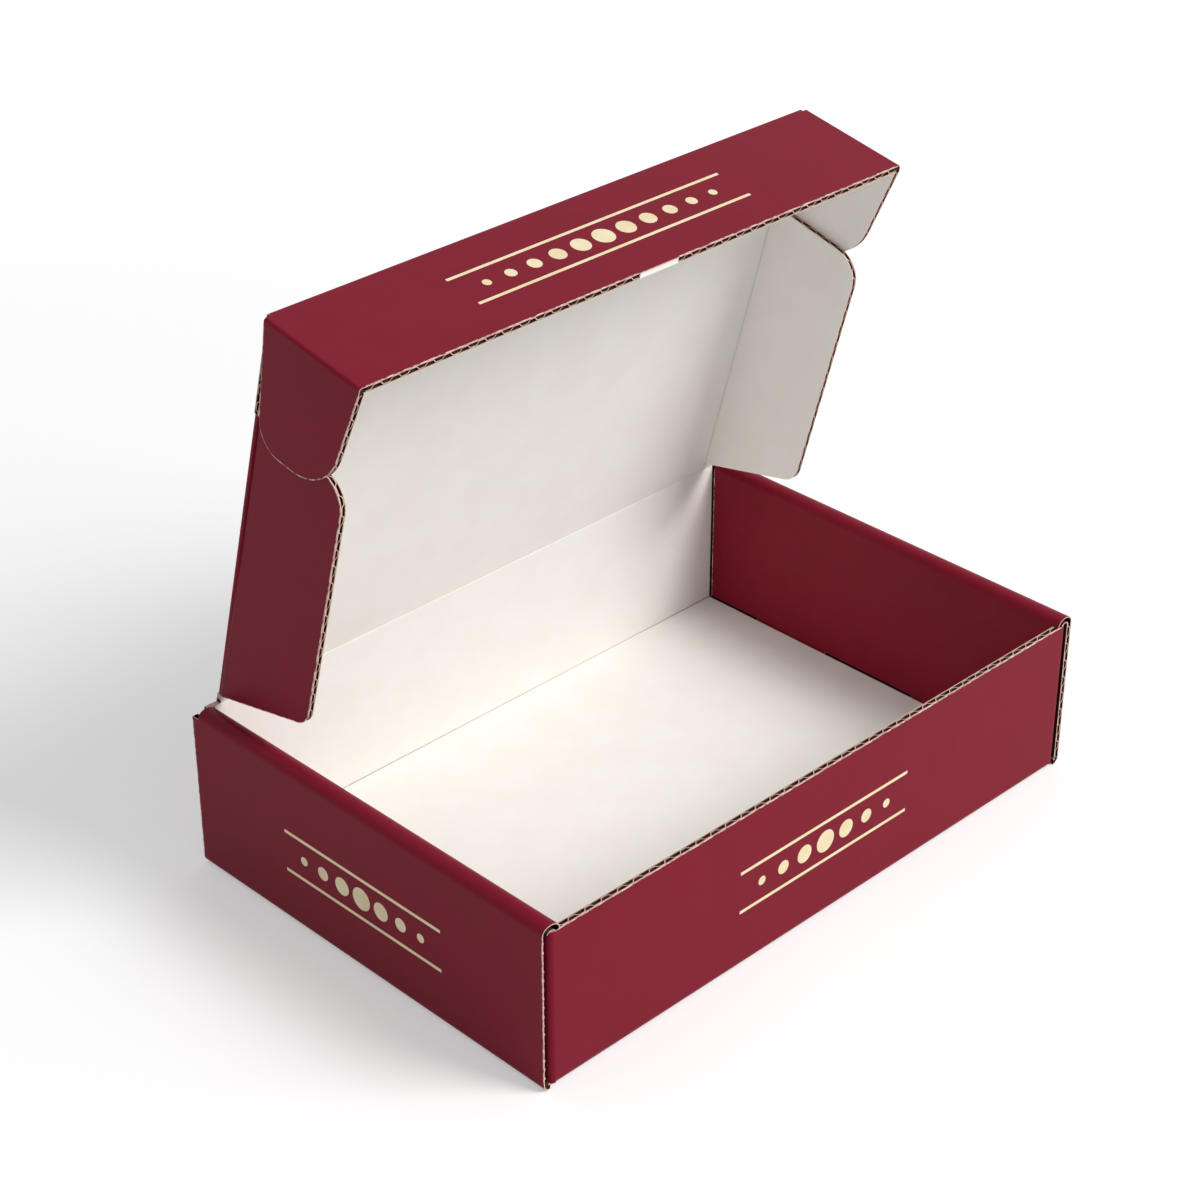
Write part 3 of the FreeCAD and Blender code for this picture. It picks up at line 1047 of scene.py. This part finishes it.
    def draw_lip(self, mesh: BoardMesh, top: float) -> None:
        """Draws the outer liner where it stands proud of the crushed core, with bits of the core left on it.

        Args:
            mesh: The side wall, in its outer ply's frame.
            top: Height of the lip.
        """
        low, end = BOARD.fold_reach, self.half_depth
        start, split = end - self.lip, end - BOARD.crack
        rise = np.linspace(low, top, self.lip_steps)
        bits = np.array([mesh.chance.uniform(self.smallest_crumb, 1.0) for _ in range(len(rise))])
        waves = np.maximum(0.0, np.sin(rise * 4 * math.pi / BOARD.pitch)) ** 5
        level = BOARD.liner + self.lip_crumbs * waves * bits - BOARD.half
        outer, front, back = (
            np.column_stack([np.full_like(rise, x), rise, z])
            for x, z in ((end, np.full_like(rise, -BOARD.half)), (end, level), (start, level))
        )
        mesh.strip(outer, front, Skin.CUT)
        mesh.strip(front, back, Skin.MEDIUM)
        for near, far, skin in ((start, split, Skin.OUTSIDE), (split, end, Skin.CRACKED)):
            ring = [(near, low), (near, top), (far, top), (far, low)]
            mesh.face([(*spot, -BOARD.half) for spot in ring], skin)

    def rim(self) -> tuple[list[Flat], list[Flat]]:
        """The rolled rim's section, from the outer ply to the inner one.

        Returns:
            Its outer and its inner line.
        """
        middle = (self.half_width + self.inner_ply) / 2
        wide = self.half_width - middle
        swings = [math.pi * step / self.roll_steps for step in range(self.roll_steps + 1)]
        outer, inner = (
            [
                (middle + reach * math.cos(swing), self.rim_foot + rise * math.sin(swing) ** self.roll_fullness)
                for swing in swings
            ]
            for reach, rise in ((wide, self.roll_rise), (wide - BOARD.thick, self.roll_inner_rise))
        )
        return outer, inner

    def draw_rim(self, mesh: BoardMesh) -> None:
        """Draws the rolled rim over the whole wall, hollow at both ends.

        Args:
            mesh: The side wall.
        """
        outer, inner = self.rim()
        front, back, base = -self.half_depth, self.roll_back, self.rim_foot
        for line, skin, way in ((outer, Skin.OUTSIDE, 1), (inner, Skin.INSIDE, -1)):
            run = run_along(np.array(line))
            for i in range(len(line) - 1):
                spots = ((i, front), (i, back), (i + 1, back), (i + 1, front))
                ring = [(line[k][0], y, line[k][1]) for k, y in spots]
                mesh.face(ring[::way], skin, [(run[k], y) for k, y in spots][::way])
        low, high = (np.array([(x, front, z) for x, z in line]) for line in (outer, inner))
        ahead = np.tile((0.0, 1.0, 0.0), (len(outer), 1))
        # Each open end shows a dark back face at roll_hollow depth: painted shade for the inside of the roll.
        CutEdge(mesh, low, high, ahead, self.roll_hollow, False).draw()
        low, high = (line * (1, 0, 1) + (0, back, 0) for line in (low, high))
        CutEdge(mesh, low[::-1], high[::-1], -ahead, self.roll_hollow, False).draw()
        ring = box(self.half_width - BOARD.thick, back, self.half_width, self.half_depth)
        mesh.face([(*spot, base) for spot in ring], Skin.CUT)
        ring = box(self.inner_ply, front, self.inner_ply + BOARD.thick, -self.inner_front)
        mesh.face([(*spot, base) for spot in ring[::-1]], Skin.CUT)

    def draw_inner_ply(self, mesh: BoardMesh, turn: Matrix) -> None:
        """Draws the inner ply and its locks, printed face towards the tray.

        Args:
            mesh: The side wall.
            turn: Mirror for the left wall.
        """
        base = self.rim_foot
        mesh.place = turn @ frame_at((self.inner_ply + BOARD.half, 0, base), (0, 0, -1), (1, 0, 0))
        deep = base - self.inner_foot
        outline = box(-self.roll_back, 0.0, self.inner_front, deep)
        Panel(mesh, outline, [Edge.JOINED, Edge.PLAIN, Edge.PLAIN, Edge.OPEN]).draw()
        for spot in (-self.lock_at, self.lock_at):
            outline = box(spot - self.lock_half, deep, spot + self.lock_half, base - self.lock_foot)
            Panel(mesh, outline, [Edge.JOINED, Edge.PLAIN, Edge.OPEN, Edge.PLAIN]).draw()

    def build(self) -> list[bpy.types.Object]:
        """Builds the whole tray.

        Returns:
            Its five pieces.
        """
        made = [self.floor(), self.wall("front_wall_board", -1), self.wall("back_wall_board", 1)]
        return made + [self.side(f"{side}_rolled_wall", way) for way, side in SIDES]


# ---- the lid


@dataclass
class Lid:
    """Lid panel, side flaps, tuck flap and ears, with the creases between them, in millimetres."""

    materials: Materials
    open_angle: float = 75.0
    tuck_angle: float = 86.0
    hinge: Flat = (80.85, 59.45)
    edge: float = 115.05
    flap_fold: float = 113.9
    flap_reach: float = 1.9
    flap_start: float = 3.5
    flap_end: float = 120.4
    flap_gap: float = 0.2
    tuck_fold: float = 156.4
    tuck_depth: float = 43.0
    ear_fold: float = 116.4
    flap_depth: float = 41.0
    mitre: float = 20.0
    mitre_round: float = 8.0
    flap_round: float = 10.0
    ear_length: float = 43.5
    ear_start: float = 0.6
    ear_top_taper: float = 1.2
    ear_low_taper: float = 10.0
    ear_big_round: float = 20.0
    ear_small_round: float = 10.0
    score: float = 0.3
    crushed: Flat = (-5.0, 12.0)
    crushed_steps: int = 15
    crushed_rows: tuple[Flat, ...] = ((-1.0, 0.0), (-0.45, 0.16), (0.3, 0.12), (1.0, 0.0))
    crushed_rag: float = 0.08
    tuck_ornament: DotRow = DotRow(118.0, 3.9, 11)
    tuck_ornament_at: float = 21.5

    def __post_init__(self) -> None:
        """Works out the frames of the lid, the tuck flap and their folds on the right, and the side flaps' ends."""
        turn = math.radians(180 - self.open_angle)
        self.place = Matrix.Translation((0, *self.hinge)) @ Matrix.Rotation(turn, 4, "X")
        fold = Matrix.Rotation(math.radians(self.tuck_angle), 4, "X")
        self.tuck_place = self.place @ Matrix.Translation((0, self.tuck_fold, 0)) @ fold
        self.flap_line = self.place @ Matrix.Translation((self.flap_fold, 0, 0))
        self.ear_line = self.tuck_place @ Matrix.Translation((self.ear_fold, 0, 0))
        self.flap_ends = (self.flap_start + self.flap_gap, self.flap_end - self.flap_gap)

    def panel(self) -> bpy.types.Object:
        """The lid's flat panel.

        Returns:
            The panel.
        """
        mesh = BoardMesh("lid_board", self.place, 41, (0.0, 150.0))
        reach = BOARD.fold_reach
        near, far, fold = reach, self.tuck_fold - reach, self.flap_fold - self.flap_reach
        edge, low, high = self.edge, self.flap_start, self.flap_end
        outline = [(-edge, near), (edge, near), (edge, low), (fold, low), (fold, high), (edge, high), (edge, far)]
        outline += [(-edge, far), (-edge, high), (-fold, high), (-fold, low), (-edge, low)]
        plain, joined, opened = Edge.PLAIN, Edge.JOINED, Edge.OPEN
        kinds = [joined, plain, plain, joined, plain, opened, joined, opened, plain, joined, plain, plain]
        Panel(mesh, outline, kinds).draw()
        return mesh.build(self.materials, "lid_panel")

    def leaf(self, mesh: BoardMesh, node: str, corners: Sequence[Point], first: Edge) -> bpy.types.Object:
        """A side flap or an ear, whose last side goes on into its crease.

        Args:
            mesh: The empty piece.
            node: The solid that it stands for.
            corners: The corners of the right one, with their radii.
            first: How the side nearest to the crease's start ends.

        Returns:
            The flap or the ear.
        """
        outline = rounded(corners)
        Panel(mesh, outline, [first, *[Edge.OPEN] * (len(outline) - 2), Edge.JOINED]).draw()
        return mesh.build(self.materials, node)

    def side_flap(self, side: str, way: int) -> bpy.types.Object:
        """One side flap, mitred at the hinge and rounded at its free corners.

        Args:
            side: Right or left.
            way: 1 for the right flap, -1 for the left.

        Returns:
            The flap.
        """
        place = turned(way) @ self.flap_line @ SQUARE
        near, deep, (low, high) = self.flap_reach, self.flap_depth, self.flap_ends
        corners = [(near, low, 0), (deep, low + self.mitre, self.mitre_round), (deep, high, self.flap_round)]
        mesh = BoardMesh(f"{side}_flap_board", place, 50 + way, (300.0 * way, 150.0))
        return self.leaf(mesh, f"{side}_side_flap", [*corners, (near, high, 0)], Edge.GROOVE)

    def ear(self, side: str, way: int) -> bpy.types.Object:
        """One ear, with a small curve towards the lid and a wide one at the free edge.

        Args:
            side: Right or left.
            way: 1 for the right ear, -1 for the left.

        Returns:
            The ear.
        """
        place = turned(way) @ self.ear_line @ SQUARE
        near, far, start, end = BOARD.fold_reach, self.ear_length, self.ear_start, self.tuck_depth
        corners = [
            (near, start, 0),
            (far, start + self.ear_top_taper, self.ear_small_round),
            (far, end - self.ear_low_taper, self.ear_big_round),
            (near, end, 0),
        ]
        mesh = BoardMesh(f"{side}_ear_board", place, 70 + way, (300.0 * way, 320.0))
        return self.leaf(mesh, f"{side}_ear", corners, Edge.OPEN)

    def tuck(self) -> bpy.types.Object:
        """The tuck flap, with one stretch of its free edge crushed shut.

        Returns:
            The flap.
        """
        mesh = BoardMesh("tuck_board", self.tuck_place, 61, (0.0, 310.0))
        near, far, side = BOARD.fold_reach, self.tuck_depth, self.ear_fold - BOARD.fold_reach
        low, high = self.crushed
        outline = [(-side, near), (side, near), (side, far), (high, far), (low, far), (-side, far)]
        kinds = [Edge.JOINED, Edge.JOINED, Edge.OPEN, Edge.JOINED, Edge.OPEN, Edge.JOINED]
        Panel(mesh, outline, kinds, self.tuck_ornament.inlays(0.0, self.tuck_ornament_at)).draw()
        self.draw_crushed(mesh)
        return mesh.build(self.materials, "tuck_flap")

    def draw_crushed(self, mesh: BoardMesh) -> None:
        """Draws the crushed stretch, where the white liner is dragged over the edge.

        Args:
            mesh: The tuck flap.
        """
        rows = []
        for height, sink in self.crushed_rows:
            row = []
            for x in np.linspace(self.crushed[1], self.crushed[0], self.crushed_steps):
                rag = mesh.chance.uniform(-self.crushed_rag, self.crushed_rag) if sink else 0.0
                back = max(BOARD.sliver, sink + rag) if sink else 0.0
                row.append((x, self.tuck_depth - back, height * BOARD.half + rag))
            rows.append(np.array(row))
        for below, above, skin in zip(rows, rows[1:], (Skin.CUT, Skin.INSIDE, Skin.INSIDE)):
            mesh.strip(below, above, skin)

    def crease(
        self, name: str, place: Matrix, angle: float, ends: Flat, bodies: tuple[str, str], reach: float
    ) -> bpy.types.Object:
        """A fold between two boards, drawn at its rest angle.

        Args:
            name: Name of the piece.
            place: Frame of the fold's fixed side, with its origin on the fold.
            angle: How far it is folded at rest.
            ends: Where it starts and ends along the fold.
            bodies: The two bodies it joins; not used.
            reach: How far it reaches to each side of the fold.

        Returns:
            The crease.
        """
        mesh = BoardMesh(name, place, 80, (0.0, 500.0))
        Bend(mesh, angle, reach=reach, score=self.score).draw(*ends)
        made = mesh.build(self.materials)
        turn = math.radians(angle)
        start = place @ Vector((0, -reach, 0)) * MM
        end = place @ Vector((0, reach * math.cos(turn), reach * math.sin(turn))) * MM
        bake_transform(made)
        return made

    def creases(self) -> list[bpy.types.Object]:
        """The six creases at the lid's joints.

        Returns:
            The creases.
        """
        hinge = frame_at((0, *self.hinge), (0, 0, 1), (0, -1, 0))
        tuck = self.place @ Matrix.Translation((0, self.tuck_fold, 0))
        wide, reach = (-self.edge, self.edge), BOARD.fold_reach
        made = [
            self.crease("hinge_crease", hinge, 90 - self.open_angle, wide, ("tray", "lid_panel"), reach),
            self.crease("tuck_crease", tuck, self.tuck_angle, wide, ("lid_panel", "tuck_flap"), reach),
        ]
        quarter = Matrix.Rotation(math.radians(-90), 4, "Z")
        for way, side in SIDES:
            flap, ear = (turned(way) @ line @ quarter for line in (self.flap_line, self.ear_line))
            ends, bodies = (-self.flap_ends[1], -self.flap_ends[0]), ("lid_panel", f"{side}_side_flap")
            made.append(self.crease(f"{side}_flap_crease", flap, 90.0, ends, bodies, self.flap_reach))
            ends, bodies = (-self.tuck_depth, -self.ear_start), ("tuck_flap", f"{side}_ear")
            made.append(self.crease(f"{side}_ear_crease", ear, 90.0, ends, bodies, reach))
        return made

    def build(self) -> list[bpy.types.Object]:
        """Builds the lid with all its flaps.

        Returns:
            The boards, then the creases between them.
        """
        made = [self.panel(), self.tuck()]
        made += [self.side_flap(side, way) for way, side in SIDES]
        made += [self.ear(side, way) for way, side in SIDES]
        return made + self.creases()


# ---- the studio


@dataclass(frozen=True)
class Studio:
    """Pale floor, one soft lamp, even room light and the camera; sizes in metres."""

    azimuth: float = -44.669
    elevation: float = 30.926
    distance: float = 0.9708
    target: Point = (0.0180, 0.0389, 0.060)
    lens: float = 84.5
    lamp_at: Point = (1.2, -2.1, 2.25)
    lamp_target: Point = (0.0, 0.0, 0.08)
    lamp_size: float = 1.5
    lamp_power: float = 81.0
    lamp_tint: Point = (1.0, 0.99, 0.975)
    room_light: float = 0.41
    room_tint: Colour = (0.97, 0.985, 1.0, 1.0)
    sensor: float = 36.0
    sight: Flat = (0.01, 50.0)
    floor_tone: Colour = (0.8, 0.8, 0.8, 1.0)
    floor_rough: float = 0.9
    floor_specular: float = 0.1
    floor_reach: float = 6.0
    floor_level: float = -0.0002
    glow: float = 0.34
    far_glow: float = 0.45
    glow_span: Flat = (0.35, 1.5)

    def aim(self, made: bpy.types.Object, at: Vector, way: Vector) -> None:
        """Places a lamp or the camera and points it.

        Args:
            made: The lamp or the camera.
            at: Its place.
            way: Where it looks.
        """
        made.location = at
        made.rotation_mode = "QUATERNION"
        made.rotation_quaternion = way.to_track_quat("-Z", "Y")

    def camera(self) -> None:
        """Places the camera at the photograph's angle."""
        data = bpy.data.cameras.new("camera")
        data.lens, data.sensor_width = self.lens, self.sensor
        data.clip_start, data.clip_end = self.sight
        made = put("camera", data)
        turn, rise = math.radians(self.azimuth), math.radians(self.elevation)
        back = Vector((math.sin(turn) * math.cos(rise), -math.cos(turn) * math.cos(rise), math.sin(rise)))
        self.aim(made, Vector(self.target) + back * self.distance, -back)
        bpy.context.scene.camera = made

    def floor(self) -> None:
        """Lays a wide pale floor that keeps the box's shadow."""
        shader = Shader(bpy.data.materials.new("studio_floor"))
        spot = shader.node("ShaderNodeNewGeometry").outputs["Position"]
        distance = shader.node("ShaderNodeVectorMath", {"operation": "LENGTH"}, {0: spot}).outputs["Value"]
        lift = shader.seen() * (Value(shader, distance).between(*self.glow_span) * self.far_glow + self.glow)
        material = shader.surface(
            {
                "Base Color": self.floor_tone,
                "Roughness": self.floor_rough,
                "Specular IOR Level": self.floor_specular,
                "Emission Color": shader.blend(lift, BLACK, WHITE),
                "Emission Strength": 1.0,
            }
        )
        mesh = bpy.data.meshes.new("studio_floor")
        reach = self.floor_reach
        mesh.from_pydata([(*spot, self.floor_level) for spot in box(-reach, -reach, reach, reach)], [], [range(4)])
        mesh.materials.append(material)
        put("studio_floor", mesh)

    def lamp(self) -> None:
        """Hangs the soft square lamp."""
        data = bpy.data.lights.new("key_lamp", "AREA")
        data.size, data.energy, data.color = self.lamp_size, self.lamp_power, self.lamp_tint
        self.aim(put("key_lamp", data), Vector(self.lamp_at), Vector(self.lamp_target) - Vector(self.lamp_at))

    def world(self) -> None:
        """Fills the room with even light and shows white behind the floor."""
        shader = Shader(bpy.data.worlds.new("studio_room"))
        light, back = (
            shader.node("ShaderNodeBackground", sockets={"Color": tint, "Strength": strength}).outputs[0]
            for tint, strength in ((self.room_tint, self.room_light), (WHITE, 1.0))
        )
        pick = shader.node("ShaderNodeMixShader", sockets={0: shader.seen(), 1: light, 2: back})
        shader.node("ShaderNodeOutputWorld", sockets={"Surface": pick.outputs[0]})
        bpy.context.scene.world = shader.owner

    def build(self) -> None:
        """Sets up the whole studio."""
        self.camera()
        self.floor()
        self.lamp()
        self.world()
        bpy.context.scene.view_settings.view_transform = "Standard"


def main() -> None:
    """Builds the studio, the tray and the lid, and reports each piece."""
    logging.basicConfig(level=logging.INFO, format="%(name)s: %(message)s")
    Studio().build()
    materials = {skin: FINISHES[skin].material() for skin in Skin}
    for part in (Tray(materials), Lid(materials)):
        for piece in part.build():
            LOG.info("%s: %d faces", piece.name, len(piece.data.polygons))


if __name__ == "__main__":
    main()
